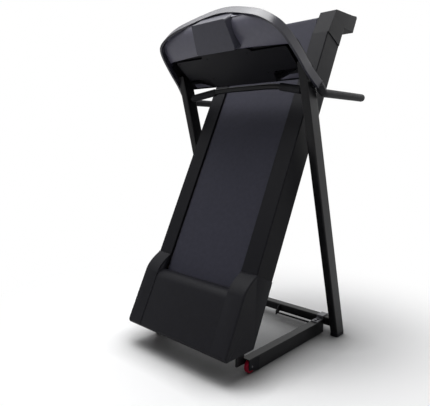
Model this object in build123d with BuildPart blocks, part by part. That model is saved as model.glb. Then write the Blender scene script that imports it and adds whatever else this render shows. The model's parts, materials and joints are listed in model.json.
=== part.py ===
"""Folding treadmill, modelled folded up: the deck stands on its hinge and leans back between the uprights.

Frame: millimetres, +Z up, front faces -Y, origin under the middle of the folded machine on the floor.
"""
from build123d import *
from math import cos, radians, sin, sqrt, tan
import os

os.makedirs("parts", exist_ok=True)

# Fits shared by all pieces
running_gap = 0.05          # radial play of a shaft in its bore
free_gap = 0.3              # air between pieces that slide or roll past each other

# Floor frame: two side rails, a rear crossbar and two leaning uprights
rail_outer_x = 271.5
rail_width = 35.5
rail_bottom = 4.0
rail_height = 55.0
rail_front_y = -320.0
rail_wall = 2.5
rail_nose_cut_y = 58.0      # length of the slanted cut that uncovers the wheel
rail_nose_cut_z = 32.0
pad_length = 40.0
pad_width = 26.0

crossbar_front_y = 243.0
crossbar_depth = 45.0
crossbar_bottom = 38.0
crossbar_height = 36.0
crossbar_wall = 2.5

upright_inner_x = 310.0
upright_width = 35.0
upright_depth = 64.0
upright_foot_y = 238.0      # front edge at floor level
upright_lean = 15.8         # degrees forward
upright_top = 1190.0
upright_wall = 2.5
foot_height = 16.0
foot_flange = 2.0

plate_thickness = 4.0       # joint plate over rail and crossbar
plate_rail_leg = 56.0
bolt_head = 13.0
bolt_head_height = 5.0
bolt_spacing = 22.0

rod_diameter = 9.0          # brace rod beside the crossbar
rod_y = 222.0
rod_z = 36.0
rod_end_x = 34.0
tab_thickness = 5.0
tab_height = 34.0

# Transport wheels at the front of the rails
wheel_radius = 27.0
wheel_width = 15.0
wheel_y = -302.0
wheel_lift = 0.8            # clear of the floor until the machine is tipped
wheel_side_gap = 1.5
axle_diameter = 8.0

# Deck hinge
pivot_y = -338.7
pivot_z = 130.0
fold_angle = 63.5
bracket_thickness = 8.0
bracket_radius = 24.0
bracket_tongue = 80.0       # length held inside the rail
pin_diameter = 16.0
pin_head = 24.0
pin_head_height = 5.0
bush_wall = 3.0

# Deck, measured along the belt from the hinge (s) and square to it (n)
belt_width = 390.0
belt_thickness = 2.0
belt_over_pivot = 52.0
belt_start = 179.0          # where the belt leaves the hood
roller_radius = 22.0
front_roller_s = 150.0
rear_roller_s = 1421.0
shaft_diameter = 14.0
board_thickness = 18.0
board_half_width = 230.0
cushion_height = 8.0
cushion_length = 60.0
tube_inner_x = 208.0
tube_width = 26.0
tube_height = 60.0
tube_wall = 2.5
tube_front_s = -14.0
tube_rear_s = 1440.0
member_depth = 40.0
member_height = 28.0
member_count = 4

foot_rail_inner_x = 198.0
foot_rail_outer_x = 274.5
foot_rail_rise = 10.0       # above the belt
foot_rail_wall = 3.0
foot_rail_flange = 5.0
deck_depth = 100.0          # belt surface to the lower edge of the skirt
foot_rail_end_s = 1338.0
skirt_lip = 12.0

cap_outer_x = 277.0
cap_wall = 3.5
cap_ridge_s = 1462.0
cap_ridge_drop = 15.0
cap_foot_s = 1550.0
cap_foot_length = 86.0
cap_notch_s = 1432.0
cap_foot_lift = 0.5         # sole to floor when the deck lies flat
cap_foot_rake = 20.0        # how far the end face leans
cap_foot_side = 40.0        # height of the foot's end face
cap_foot_bevel = 6.0

# Motor hood at the lower end of the deck
hood_seam = 0.6
hood_proud = 52.0           # above the belt
hood_nose_s = -85.0
hood_wall = 3.0
hood_crest_s = 100.0        # where the rise from the foot rail is done
hood_nose_radius = 16.0
cheek_start_s = 202.0
cheek_proud = 2.0
bracket_slot_gap = 3.0      # room beside the hinge bracket in the cheek's end wall
bracket_slot_n = 16.0       # height to which that slot reaches

motor_radius = 46.0
motor_length = 200.0
motor_s = 42.0
motor_n = 24.0
motor_left_x = -150.0
motor_shaft = 12.0
motor_pulley_radius = 15.0
roller_pulley_radius = 29.0
pulley_width = 10.0
drive_belt_thickness = 2.5
pulley_gap = 1.5
flywheel_radius = 40.0
flywheel_width = 14.0
motor_chamfer = 5.0
vent_count = 8
vent_width = 6.0
vent_depth = 12.0
bed_thickness = 5.0
bed_length = 100.0
saddle_thickness = 8.0
controller_x = 130.0
controller_width = 110.0
controller_length = 100.0
controller_height = 42.0
fin_count = 10
pan_slots = 9

# Console: a tray in a rim, on a plane tilted half way between upright and flat
console_y = -134.5
console_z = 1189.0
rim_thickness = 10.0
rim_band = 40.0
rim_foot_v = -140.0         # where the rim meets the grips
rim_outline = [
    (380.0, -184.0),
    (364.0, -110.0),
    (354.0, -61.0),
    (349.0, 0.0),
    (342.0, 57.0),
    (332.0, 111.0),
    (308.0, 160.0),
    (256.0, 190.0),
    (150.0, 203.0),
    (0.0, 203.0),
]                           # right half of the rim on the console's plane
rim_edge = [
    (400.0, 0.0),
    (340.0, 0.0),
    (305.0, 3.0),
    (255.0, 22.0),
    (175.0, 53.0),
    (92.0, 85.0),
    (0.0, 104.0),
]                           # right half of its front edge: how far it bends towards the user
panel_w = 58.0              # user panel above the plane of the rim's lower front edge
panel_thickness = 4.0
panel_foot_v = -128.0
panel_bend_v = 56.0         # where the panel steps down into the dish
dish_foot_v = 72.0
pan_wall = 3.0
pan_step_v = -95.0          # the pan's side walls are shallow below this, over the cross bar
pan_step_w = 51.0
pan_side_w = 20.0
pan_side_v = 40.0           # upper end of those deep side walls
cover_thickness = 4.0
cover_half_width = 300.0
cover_step_x = 122.0        # the middle of the cover stands higher
cover_step_run = 14.0
cover_corner = 5.0
cover_top_v = 72.0
cover_shoulder_v = 52.0
cover_foot_v = -122.0
cover_opening_v = -92.0     # upper edge of the finger openings beside the bar
cover_opening_x = 165.0
cover_top_w = 24.0
cover_foot_w = 46.0
lobe_curve = [(52.0, 26.0), (175.0, 14.0), (190.0, 50.0), (206.0, 88.0)]
dish_gap = 5.0              # between lobe and dish
housing_low_half = 104.0
housing_high_half = 88.0
housing_low_v = 97.0        # lower edge of the display housing's rear face
housing_low_w = -17.0
housing_high_v = 216.0
housing_high_w = 26.0
housing_depth = 100.0
housing_taper = 4.0
housing_wall = 3.0
housing_corner = 10.0
beam_v = -75.0
beam_height = 40.0
lens_margin = 3.0
lens_thickness = 2.0
round_button = 30.0
long_button_width = 36.0
long_button_height = 22.0
button_pitch = 48.0
button_v = -8.0
button_flange = 2.0
button_proud = 2.5
button_gap = 0.4
board_width = 300.0
board_height = 56.0
board_gap = 5.0
board_thin = 1.6
key_v = -100.0
key_radius = 9.0
key_head_radius = 14.0
key_head = 8.0

grip_radius = 16.5
grip_x = 363.5
grip_z = 1075.0
grip_end_y = 350.0
grip_end_wall = 6.0
elbow_v = -184.0
elbow_w = 23.0
elbow_radius = 50.0
handle_radius = 12.5
stay_length = 34.0
stay_height = 26.0
stay_bite = 6.0             # how far a stay wraps round the grip
sleeve_radius = 17.0
sleeve_inner_x = 183.0
sleeve_gap = 2.0
bar_radius = 12.5
bar_end = (-30.0, 1102.0)   # y and z at the uprights
bar_middle = (2.0, 1122.0)
bar_bend_x = 168.0
bar_middle_x = 140.0
bar_fillet = 25.0

# Power inlet and switch in the hood's lower end
inlet_x = 120.0
inlet_width = 48.0
inlet_height = 28.0
inlet_depth = 30.0
inlet_y = -425.0
switch_x = 50.0
switch_width = 24.0
switch_length = 17.0
switch_gap = 0.8
switch_depth = 12.0

# Derived sizes
lean = tan(radians(upright_lean))
belt_inner_radius = roller_radius + free_gap
belt_outer_radius = belt_inner_radius + belt_thickness
belt_n = belt_over_pivot
roller_n = belt_n - belt_outer_radius
board_top_n = belt_n - belt_thickness - free_gap
board_bottom_n = board_top_n - board_thickness
tube_top_n = board_bottom_n - cushion_height
tube_bottom_n = tube_top_n - tube_height
tube_outer_x = tube_inner_x + tube_width
foot_rail_n = belt_n + foot_rail_rise
skirt_n = belt_n - deck_depth
sole_n = cap_foot_lift - pivot_z
hood_n = belt_n + hood_proud
rail_top = rail_bottom + rail_height
rail_inner_x = rail_outer_x - rail_width
crossbar_top = crossbar_bottom + crossbar_height
upright_outer_x = upright_inner_x + upright_width
bracket_x = rail_inner_x + rail_wall
wheel_x = rail_outer_x - rail_wall - wheel_side_gap - wheel_width / 2
wheel_z = wheel_radius + wheel_lift
panel_under = panel_w - panel_thickness
sides = {"right": 1, "left": -1}

# Planes of the deck and the console
deck = Plane(
    origin=(0, pivot_y, pivot_z),
    x_dir=(1, 0, 0),
    z_dir=(0, -sin(radians(fold_angle)), cos(radians(fold_angle))),
)
console = Plane(origin=(0, console_y, console_z), x_dir=(-1, 0, 0), z_dir=(0, 1, 1))


def deck_side(x):
    """Plane square to the hinge at x; sketches on it use (s, n)."""
    return Plane(origin=deck.from_local_coords((x, 0, 0)), x_dir=deck.y_dir, z_dir=(1, 0, 0))


def deck_end(s):
    """Plane across the deck at s; sketches on it use (x, n) and extrude towards the hinge."""
    return Plane(origin=deck.from_local_coords((0, s, 0)), x_dir=(1, 0, 0), z_dir=-deck.y_dir)


def side_plane(x):
    """Upright plane at x; sketches on it use (y, z)."""
    return Plane.YZ.offset(x)


def from_console(v, w):
    """World (y, z) of a point v up the console and w towards the user."""
    return (console_y + (w - v) / sqrt(2), console_z + (w + v) / sqrt(2))


def save(builder, name):
    builder.part.label = name
    export_step(builder.part, f"parts/{name}.step")


# Base rails with the slanted nose over the wheel
for name, side in sides.items():
    with BuildPart() as base_rail:
        with BuildSketch(Plane.XZ.offset(-rail_front_y)) as section:
            with Locations((side * (rail_outer_x - rail_width / 2), rail_bottom + rail_height / 2)):
                Rectangle(rail_width, rail_height)
                Rectangle(rail_width - 2 * rail_wall, rail_height - 2 * rail_wall, mode=Mode.SUBTRACT)
        extrude(amount=rail_front_y - crossbar_front_y)
        with BuildSketch(side_plane(side * rail_inner_x - rail_width)) as nose:
            with BuildLine():
                Polyline(
                    (rail_front_y, rail_bottom),
                    (rail_front_y + rail_nose_cut_y, rail_bottom),
                    (rail_front_y, rail_bottom + rail_nose_cut_z),
                    close=True,
                )
            make_face()
        extrude(amount=4 * rail_width, mode=Mode.SUBTRACT)
        with BuildSketch(side_plane(side * (rail_outer_x - rail_width / 2))) as axle_hole:
            with Locations((wheel_y, wheel_z)):
                Circle(axle_diameter / 2)
        extrude(amount=rail_width, both=True, mode=Mode.SUBTRACT)
    save(base_rail, f"base_rail_{name}")

# Rubber pads under the rails
with BuildPart() as rail_pads:
    for side in sides.values():
        for y in (rail_front_y + rail_nose_cut_y + pad_length, crossbar_front_y - pad_length):
            with BuildSketch(Plane.XY) as pad:
                with Locations((side * (rail_outer_x - rail_width / 2), y)):
                    RectangleRounded(pad_width, pad_length, pad_width / 4)
            extrude(amount=rail_bottom)
save(rail_pads, "rail_pads")

# Rear crossbar between the uprights
with BuildPart() as rear_crossbar:
    with BuildSketch(side_plane(-upright_inner_x)) as section:
        with Locations((crossbar_front_y + crossbar_depth / 2, crossbar_bottom + crossbar_height / 2)):
            RectangleRounded(crossbar_depth, crossbar_height, 2 * crossbar_wall)
            RectangleRounded(
                crossbar_depth - 2 * crossbar_wall,
                crossbar_height - 2 * crossbar_wall,
                crossbar_wall,
                mode=Mode.SUBTRACT,
            )
    extrude(amount=2 * upright_inner_x)
save(rear_crossbar, "rear_crossbar")

# Uprights, leaning forward, hollow, with their lower ends cut level
for name, side in sides.items():
    inner = min(side * upright_inner_x, side * upright_outer_x)
    with BuildPart() as upright:
        with BuildSketch(Plane.XY.offset(foot_height)) as lower_end:
            with Locations((inner + upright_width / 2, upright_foot_y - lean * foot_height + upright_depth / 2)):
                RectangleRounded(upright_width, upright_depth, 2 * upright_wall)
                RectangleRounded(
                    upright_width - 2 * upright_wall,
                    upright_depth - 2 * upright_wall,
                    upright_wall,
                    mode=Mode.SUBTRACT,
                )
        extrude(amount=(upright_top - foot_height) / cos(radians(upright_lean)), dir=(0, -lean, 1))
        with BuildSketch(console.offset(panel_under - free_gap)) as slant_cut:
            Rectangle(4 * upright_outer_x, 4 * upright_outer_x)
        extrude(amount=upright_outer_x, mode=Mode.SUBTRACT)
    save(upright, f"upright_{name}")

with BuildPart() as upright_feet:
    foot_y = upright_foot_y + upright_depth / 2 - lean * foot_height
    foot_x = upright_inner_x + upright_width / 2
    with BuildSketch(Plane.XY) as soles:
        with Locations((foot_x, foot_y), (-foot_x, foot_y)):
            RectangleRounded(upright_width + foot_flange, upright_depth + foot_flange, 3 * upright_wall)
    extrude(amount=foot_height)
    fillet(upright_feet.faces().group_by(Axis.Z)[0].edges(), foot_flange)
save(upright_feet, "upright_feet")

# Joint plates bolted over the rail ends, stepping up onto the crossbar
with BuildPart() as joint_plates:
    for side in sides.values():
        with BuildSketch(side_plane(side * (rail_outer_x - rail_width / 2))) as profile:
            with BuildLine():
                Polyline(
                    (crossbar_front_y - plate_rail_leg, rail_top),
                    (crossbar_front_y, rail_top),
                    (crossbar_front_y, crossbar_top),
                    (crossbar_front_y + crossbar_depth, crossbar_top),
                    (crossbar_front_y + crossbar_depth, crossbar_top + plate_thickness),
                    (crossbar_front_y - plate_thickness, crossbar_top + plate_thickness),
                    (crossbar_front_y - plate_thickness, rail_top + plate_thickness),
                    (crossbar_front_y - plate_rail_leg, rail_top + plate_thickness),
                    close=True,
                )
            make_face()
        extrude(amount=rail_width / 2 - rail_wall, both=True)
save(joint_plates, "joint_plates")

with BuildPart() as joint_bolts:
    for side in sides.values():
        for step in (1, 2):
            y = crossbar_front_y - plate_rail_leg + step * bolt_spacing - bolt_head / 2
            with BuildSketch(Plane.XY.offset(rail_top + plate_thickness)) as head:
                with Locations((side * (rail_outer_x - rail_width / 2), y)):
                    RegularPolygon(bolt_head / 2, 6)
            extrude(amount=bolt_head_height)
save(joint_bolts, "joint_bolts")

# Brace rod from the right rail to a tab on the crossbar
with BuildPart() as brace_rod:
    with BuildSketch(side_plane(rod_end_x)) as rod:
        with Locations((rod_y, rod_z)):
            Circle(rod_diameter / 2)
    extrude(amount=rail_inner_x - rod_end_x)
    with BuildSketch(side_plane(rod_end_x)) as tab:
        with BuildLine():
            Polyline(
                (rod_y - rod_diameter, rod_z - rod_diameter),
                (crossbar_front_y, crossbar_bottom),
                (crossbar_front_y, crossbar_bottom + tab_height),
                (rod_y - rod_diameter, rod_z + rod_diameter),
                close=True,
            )
        make_face()
    extrude(amount=-tab_thickness)
save(brace_rod, "brace_rod")

# Hinge brackets: a tongue inside the rail and an eye in front of it
with BuildPart() as hinge_brackets:
    for side in sides.values():
        with BuildSketch(side_plane(side * bracket_x)) as profile:
            with Locations((pivot_y, pivot_z)):
                Circle(bracket_radius)
            with BuildLine():
                Polyline(
                    (pivot_y - bracket_radius, pivot_z),
                    (pivot_y - bracket_radius, rail_bottom + rail_nose_cut_z),
                    (rail_front_y, rail_bottom + rail_nose_cut_z),
                    (rail_front_y + bracket_tongue, rail_top - rail_wall - rail_height / 3),
                    (rail_front_y + bracket_tongue, rail_top - rail_wall),
                    (rail_front_y, rail_top - rail_wall),
                    (rail_front_y, rail_top),
                    (pivot_y + bracket_radius, pivot_z),
                    close=True,
                )
            make_face()
            with Locations((pivot_y, pivot_z)):
                Circle(pin_diameter / 2, mode=Mode.SUBTRACT)
            with Locations((wheel_y, wheel_z)):
                Circle(axle_diameter / 2, mode=Mode.SUBTRACT)
        extrude(amount=side * bracket_thickness)
save(hinge_brackets, "hinge_brackets")

with BuildPart() as hinge_pins:
    for side in sides.values():
        with BuildSketch(side_plane(side * tube_inner_x)) as shank:
            with Locations((pivot_y, pivot_z)):
                Circle(pin_diameter / 2)
        extrude(amount=side * (bracket_x + bracket_thickness - tube_inner_x))
        with BuildSketch(side_plane(side * (bracket_x + bracket_thickness))) as head:
            with Locations((pivot_y, pivot_z)):
                Circle(pin_head / 2)
        extrude(amount=side * pin_head_height)
save(hinge_pins, "hinge_pins")

# Wheel axles and the wheels with a raised tread and a hub
with BuildPart() as wheel_axles:
    for side in sides.values():
        with BuildSketch(side_plane(side * (rail_inner_x - rail_wall))) as axle:
            with Locations((wheel_y, wheel_z)):
                Circle(axle_diameter / 2)
        extrude(amount=side * (rail_width + 2 * rail_wall))
save(wheel_axles, "wheel_axles")

for name, side in sides.items():
    wheel_axis = Axis((side * wheel_x, wheel_y, wheel_z), (1, 0, 0))
    with BuildPart() as transport_wheel:
        with BuildSketch(Plane(origin=(side * wheel_x, wheel_y, wheel_z), x_dir=(1, 0, 0), z_dir=(0, -1, 0))):
            bore = axle_diameter / 2 + running_gap
            half = wheel_width / 2
            with BuildLine():
                Polyline(
                    (-half, bore),
                    (half, bore),
                    (half, wheel_radius * 0.45),
                    (half - 3, wheel_radius * 0.5),
                    (half - 3, wheel_radius * 0.72),
                    (half, wheel_radius * 0.78),
                    (half, wheel_radius - 2),
                    (half - 2, wheel_radius),
                    (2 - half, wheel_radius),
                    (-half, wheel_radius - 2),
                    (-half, wheel_radius * 0.78),
                    (3 - half, wheel_radius * 0.72),
                    (3 - half, wheel_radius * 0.5),
                    (-half, wheel_radius * 0.45),
                    close=True,
                )
            make_face()
        revolve(axis=wheel_axis)
    save(transport_wheel, f"transport_wheel_{name}")

# Deck frame: two long tubes with bores for the hinge bush and the roller shafts
for name, side in sides.items():
    with BuildPart() as deck_tube:
        with BuildSketch(deck_end(tube_rear_s)) as section:
            with Locations((side * (tube_inner_x + tube_width / 2), tube_top_n - tube_height / 2)):
                RectangleRounded(tube_width, tube_height, 2 * tube_wall)
                RectangleRounded(
                    tube_width - 2 * tube_wall,
                    tube_height - 2 * tube_wall,
                    tube_wall,
                    mode=Mode.SUBTRACT,
                )
        extrude(amount=tube_rear_s - tube_front_s)
        with BuildSketch(deck_side(side * tube_inner_x)) as bores:
            Circle(pin_diameter / 2 + running_gap + bush_wall)
            for s in (front_roller_s, rear_roller_s):
                with Locations((s, roller_n)):
                    Circle(shaft_diameter / 2)
        extrude(amount=side * tube_width, mode=Mode.SUBTRACT)
    save(deck_tube, f"deck_tube_{name}")

with BuildPart() as hinge_bushes:
    for side in sides.values():
        with BuildSketch(deck_side(side * tube_inner_x)) as sleeve:
            Circle(pin_diameter / 2 + running_gap + bush_wall)
            Circle(pin_diameter / 2 + running_gap, mode=Mode.SUBTRACT)
        extrude(amount=side * tube_width)
        with BuildSketch(deck_side(side * tube_outer_x)) as collar:
            Circle(pin_head / 2 + bush_wall)
            Circle(pin_diameter / 2 + running_gap, mode=Mode.SUBTRACT)
        extrude(amount=side * (bracket_x - tube_outer_x - free_gap))
save(hinge_bushes, "hinge_bushes")

with BuildPart() as deck_cross_members:
    first_s = front_roller_s + belt_outer_radius + member_depth
    last_s = rear_roller_s - belt_outer_radius - member_depth
    for index in range(member_count):
        s = first_s + (last_s - first_s) * index / (member_count - 1)
        with BuildSketch(deck_side(-tube_inner_x)) as section:
            with Locations((s, tube_bottom_n + member_height / 2)):
                Rectangle(member_depth, member_height)
                Rectangle(member_depth - 2 * tube_wall, member_height - 2 * tube_wall, mode=Mode.SUBTRACT)
        extrude(amount=2 * tube_inner_x)
save(deck_cross_members, "deck_cross_members")

with BuildPart() as board_cushions:
    for side in sides.values():
        for index in range(member_count):
            s = first_s + (last_s - first_s) * index / (member_count - 1)
            with BuildSketch(deck.offset(tube_top_n)) as cushion:
                with Locations((side * (tube_inner_x + board_half_width) / 2, s)):
                    RectangleRounded(board_half_width - tube_inner_x, cushion_length, tube_wall)
            extrude(amount=cushion_height)
save(board_cushions, "board_cushions")

board_front_s = front_roller_s + belt_outer_radius + belt_outer_radius / 2
board_rear_s = rear_roller_s - belt_outer_radius - belt_outer_radius / 2
with BuildPart() as running_board:
    with BuildSketch(deck.offset(board_bottom_n)) as board:
        with Locations((0, (board_front_s + board_rear_s) / 2)):
            Rectangle(2 * board_half_width, board_rear_s - board_front_s)
    extrude(amount=board_thickness)
save(running_board, "running_board")

# Running belt, a closed loop round both rollers
with BuildPart() as running_belt:
    with BuildSketch(deck_side(-belt_width / 2)) as loop:
        with Locations(((front_roller_s + rear_roller_s) / 2, roller_n)):
            SlotCenterToCenter(rear_roller_s - front_roller_s, 2 * belt_outer_radius)
            SlotCenterToCenter(rear_roller_s - front_roller_s, 2 * belt_inner_radius, mode=Mode.SUBTRACT)
    extrude(amount=belt_width)
save(running_belt, "running_belt")

for name, s in (("front", front_roller_s), ("rear", rear_roller_s)):
    with BuildPart() as roller:
        with BuildSketch(deck_side(-belt_width / 2)) as section:
            with Locations((s, roller_n)):
                Circle(roller_radius)
                Circle(shaft_diameter / 2 + running_gap, mode=Mode.SUBTRACT)
        extrude(amount=belt_width)
    save(roller, f"{name}_roller")

with BuildPart() as roller_shafts:
    with BuildSketch(deck_side(-tube_outer_x)) as section:
        with Locations((front_roller_s, roller_n), (rear_roller_s, roller_n)):
            Circle(shaft_diameter / 2)
    extrude(amount=2 * tube_outer_x)
save(roller_shafts, "roller_shafts")

# Foot rails: extruded covers with a ribbed tread, a deep skirt and a clip rib on the deck tube
for name, side in sides.items():
    with BuildPart() as foot_rail:
        with BuildSketch(deck_end(foot_rail_end_s)) as section:
            top = foot_rail_n
            under = foot_rail_n - foot_rail_flange
            skirt_inner_x = foot_rail_outer_x - foot_rail_wall
            rib_x = tube_outer_x + foot_rail_wall
            outline = [
                (foot_rail_inner_x, top),
                (foot_rail_outer_x - foot_rail_wall, top),
                (foot_rail_outer_x, top - foot_rail_wall),
                (foot_rail_outer_x, skirt_n),
                (foot_rail_outer_x - skirt_lip, skirt_n),
                (foot_rail_outer_x - skirt_lip, skirt_n + foot_rail_wall),
                (skirt_inner_x, skirt_n + foot_rail_wall),
                (skirt_inner_x, under),
                (rib_x, under),
                (rib_x, tube_top_n - tube_height / 2),
                (tube_outer_x, tube_top_n - tube_height / 2),
                (tube_outer_x, under),
                (foot_rail_inner_x + foot_rail_wall, under),
                (foot_rail_inner_x + foot_rail_wall, board_top_n),
                (foot_rail_inner_x, board_top_n),
            ]
            with BuildLine():
                Polyline(*[(side * x, n) for x, n in outline], close=True)
            make_face()
        extrude(amount=foot_rail_end_s - cheek_start_s - hood_seam)
    save(foot_rail, f"foot_rail_{name}")

# End caps: they close the rails and carry the foot that the open deck stands on
for name, side in sides.items():
    with BuildPart() as end_cap:
        with BuildSketch(deck_side(side * foot_rail_inner_x)) as profile:
            with BuildLine():
                Polyline(
                    (foot_rail_end_s, foot_rail_n),
                    (cap_ridge_s, foot_rail_n - cap_ridge_drop),
                    (cap_foot_s - cap_foot_rake, sole_n + cap_foot_side),
                    (cap_foot_s, sole_n + cap_foot_bevel),
                    (cap_foot_s - cap_foot_bevel, sole_n),
                    (cap_foot_s - cap_foot_length, sole_n),
                    (cap_notch_s, skirt_n + cap_wall),
                    (cap_notch_s - 20, skirt_n),
                    (foot_rail_end_s, skirt_n),
                    close=True,
                )
            make_face()
        extrude(amount=side * (cap_outer_x - foot_rail_inner_x))
        with BuildSketch(deck_side(side * foot_rail_inner_x)) as cavity:
            with BuildLine():
                Polyline(
                    (foot_rail_end_s, foot_rail_n - cap_wall),
                    (tube_rear_s + 10, foot_rail_n - cap_ridge_drop - cap_wall),
                    (tube_rear_s + 10, skirt_n + 3 * cap_wall),
                    (cap_notch_s - 20, skirt_n + cap_wall),
                    (foot_rail_end_s, skirt_n + cap_wall),
                    close=True,
                )
            make_face()
        extrude(amount=side * (cap_outer_x - foot_rail_inner_x - cap_wall), mode=Mode.SUBTRACT)
    save(end_cap, f"end_cap_{name}")

with BuildPart() as tension_bolts:
    for side in sides.values():
        with BuildSketch(deck_end(rear_roller_s + shaft_diameter / 2)) as shank:
            with Locations((side * (tube_inner_x + tube_width / 2), roller_n)):
                Circle(axle_diameter / 2)
        extrude(amount=-(tube_rear_s - rear_roller_s - shaft_diameter / 2))
        with BuildSketch(deck_end(tube_rear_s)) as head:
            with Locations((side * (tube_inner_x + tube_width / 2), roller_n)):
                RegularPolygon(bolt_head / 2, 6)
        extrude(amount=-bolt_head_height)
save(tension_bolts, "tension_bolts")


def hood_outline(wall, proud, start_s, start_n):
    """Side outline of the hood, moved inwards by the wall thickness."""
    slope = 1 / tan(radians(fold_angle))
    nose_n = hood_n + proud - hood_nose_radius
    drop = nose_n - skirt_n
    crest = hood_n + proud - wall
    middle_s = (start_s + hood_crest_s) / 2
    rear = [
        (hood_nose_s + wall, crest),
        (hood_nose_s + wall, nose_n),
        (hood_nose_s + wall + slope * drop, skirt_n),
        (start_s, skirt_n),
        (start_s, start_n - wall),
    ]
    with BuildLine() as outline:
        Bezier((start_s, start_n - wall), (middle_s, start_n - wall), (middle_s, crest), (hood_crest_s, crest))
        Line((hood_crest_s, crest), rear[0])
        Polyline(*rear)
    return outline


# Hood: a centre cover over the motor and a cheek at each side
hood_centre_x = foot_rail_inner_x - hood_seam
hood_edge_n = belt_n + belt_thickness + hood_wall
end_wall_z = deck.from_local_coords((0, hood_nose_s, hood_n - hood_nose_radius)).Z
with BuildPart() as hood_centre:
    with BuildSketch(deck_side(-hood_centre_x)) as outer:
        add(hood_outline(0, 0, belt_start, hood_edge_n))
        make_face()
        fillet(outer.vertices().group_by(Axis.Y)[-1].sort_by(Axis.X)[0], hood_nose_radius)
    extrude(amount=2 * hood_centre_x)
    with BuildSketch(deck_side(-hood_centre_x)) as inner:
        add(hood_outline(hood_wall, 0, belt_start, hood_edge_n))
        make_face()
        fillet(inner.vertices().group_by(Axis.Y)[-1].sort_by(Axis.X)[0], hood_nose_radius - hood_wall)
    extrude(amount=2 * hood_centre_x, mode=Mode.SUBTRACT)
    with BuildSketch(Plane.XY.offset(end_wall_z)) as sockets:
        with Locations((inlet_x, inlet_y)):
            Rectangle(inlet_width, inlet_height)
        with Locations((switch_x, inlet_y)):
            Rectangle(switch_width + 2 * switch_gap, switch_length + 2 * switch_gap)
    extrude(amount=2 * hood_wall, both=True, mode=Mode.SUBTRACT)
save(hood_centre, "hood_centre")

# Power inlet and rocker switch
with BuildPart() as power_inlet:
    with BuildSketch(Plane.XY.offset(end_wall_z)) as block:
        with Locations((inlet_x, inlet_y)):
            Rectangle(inlet_width, inlet_height)
    extrude(amount=inlet_depth)
    with BuildSketch(Plane.XY.offset(end_wall_z)) as socket:
        with Locations((inlet_x, inlet_y)):
            RectangleRounded(inlet_width * 0.6, inlet_height * 0.6, inlet_height * 0.12)
    extrude(amount=inlet_depth * 0.6, mode=Mode.SUBTRACT)
    with BuildSketch(Plane.XY.offset(end_wall_z + inlet_depth * 0.6)) as contacts:
        with Locations((inlet_x, inlet_y)):
            with GridLocations(inlet_width * 0.15, 0, 3, 1):
                Rectangle(hood_wall / 2, inlet_height * 0.25)
    extrude(amount=-inlet_depth * 0.4)
save(power_inlet, "power_inlet")

with BuildPart() as power_switch:
    with BuildSketch(side_plane(switch_x - switch_width / 2)) as rocker:
        with BuildLine():
            Polyline(
                (inlet_y - switch_length / 2, end_wall_z - hood_wall),
                (inlet_y, end_wall_z - hood_wall / 2),
                (inlet_y + switch_length / 2, end_wall_z + hood_wall / 3),
                (inlet_y + switch_length / 4, end_wall_z + switch_depth),
                (inlet_y - switch_length / 4, end_wall_z + switch_depth),
                close=True,
            )
        make_face()
    extrude(amount=switch_width)
save(power_switch, "power_switch")

for name, side in sides.items():
    with BuildPart() as hood_cheek:
        with BuildSketch(deck_side(side * foot_rail_inner_x)) as outer:
            add(hood_outline(0, cheek_proud, cheek_start_s, foot_rail_n))
            make_face()
            fillet(outer.vertices().group_by(Axis.Y)[-1].sort_by(Axis.X)[0], hood_nose_radius)
        extrude(amount=side * (cap_outer_x - foot_rail_inner_x))
        with BuildSketch(deck_side(side * foot_rail_inner_x)) as inner:
            add(hood_outline(hood_wall, cheek_proud, cheek_start_s, foot_rail_n))
            make_face()
            fillet(inner.vertices().group_by(Axis.Y)[-1].sort_by(Axis.X)[0], hood_nose_radius - hood_wall)
        extrude(amount=side * (cap_outer_x - foot_rail_inner_x - hood_wall), mode=Mode.SUBTRACT)
        with BuildSketch(deck_side(side * (bracket_x - bracket_slot_gap))) as bracket_slot:
            with BuildLine():
                Polyline(
                    (hood_nose_s, bracket_slot_n),
                    (0, bracket_slot_n),
                    (0, skirt_n),
                    (hood_nose_s, skirt_n),
                    close=True,
                )
            make_face()
        extrude(amount=side * (bracket_thickness + 2 * bracket_slot_gap), mode=Mode.SUBTRACT)
    save(hood_cheek, f"hood_cheek_{name}")

# Motor on its saddle plate between the deck tubes
motor_bed_n = tube_bottom_n + bed_thickness
with BuildPart() as motor_bed:
    with BuildSketch(deck.offset(tube_bottom_n)) as plate:
        with Locations((0, motor_s)):
            Rectangle(2 * tube_inner_x, bed_length)
    extrude(amount=bed_thickness)
    for x in (motor_left_x + motor_length / 5, motor_left_x + motor_length * 4 / 5):
        with BuildSketch(deck_side(x)) as saddle:
            with Locations((motor_s, (motor_bed_n + motor_n) / 2)):
                Rectangle(1.4 * motor_radius, motor_n - motor_bed_n)
            with Locations((motor_s, motor_n)):
                Circle(motor_radius, mode=Mode.SUBTRACT)
        extrude(amount=saddle_thickness / 2, both=True)
save(motor_bed, "motor_bed")

with BuildPart() as motor:
    with BuildSketch(deck_side(motor_left_x)) as can:
        with Locations((motor_s, motor_n)):
            Circle(motor_radius)
            Circle(motor_shaft / 2 + running_gap, mode=Mode.SUBTRACT)
    extrude(amount=motor_length)
    chamfer(motor.edges().filter_by(GeomType.CIRCLE).sort_by(SortBy.RADIUS)[-2:], motor_chamfer)
    for end_x in (motor_left_x, motor_left_x + motor_length):
        with BuildSketch(deck_side(end_x)) as vents:
            with Locations((motor_s, motor_n)):
                with PolarLocations(motor_radius * 0.62, vent_count):
                    SlotOverall(motor_radius * 0.4, vent_width)
        extrude(amount=vent_depth, both=True, mode=Mode.SUBTRACT)
save(motor, "motor")

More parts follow.
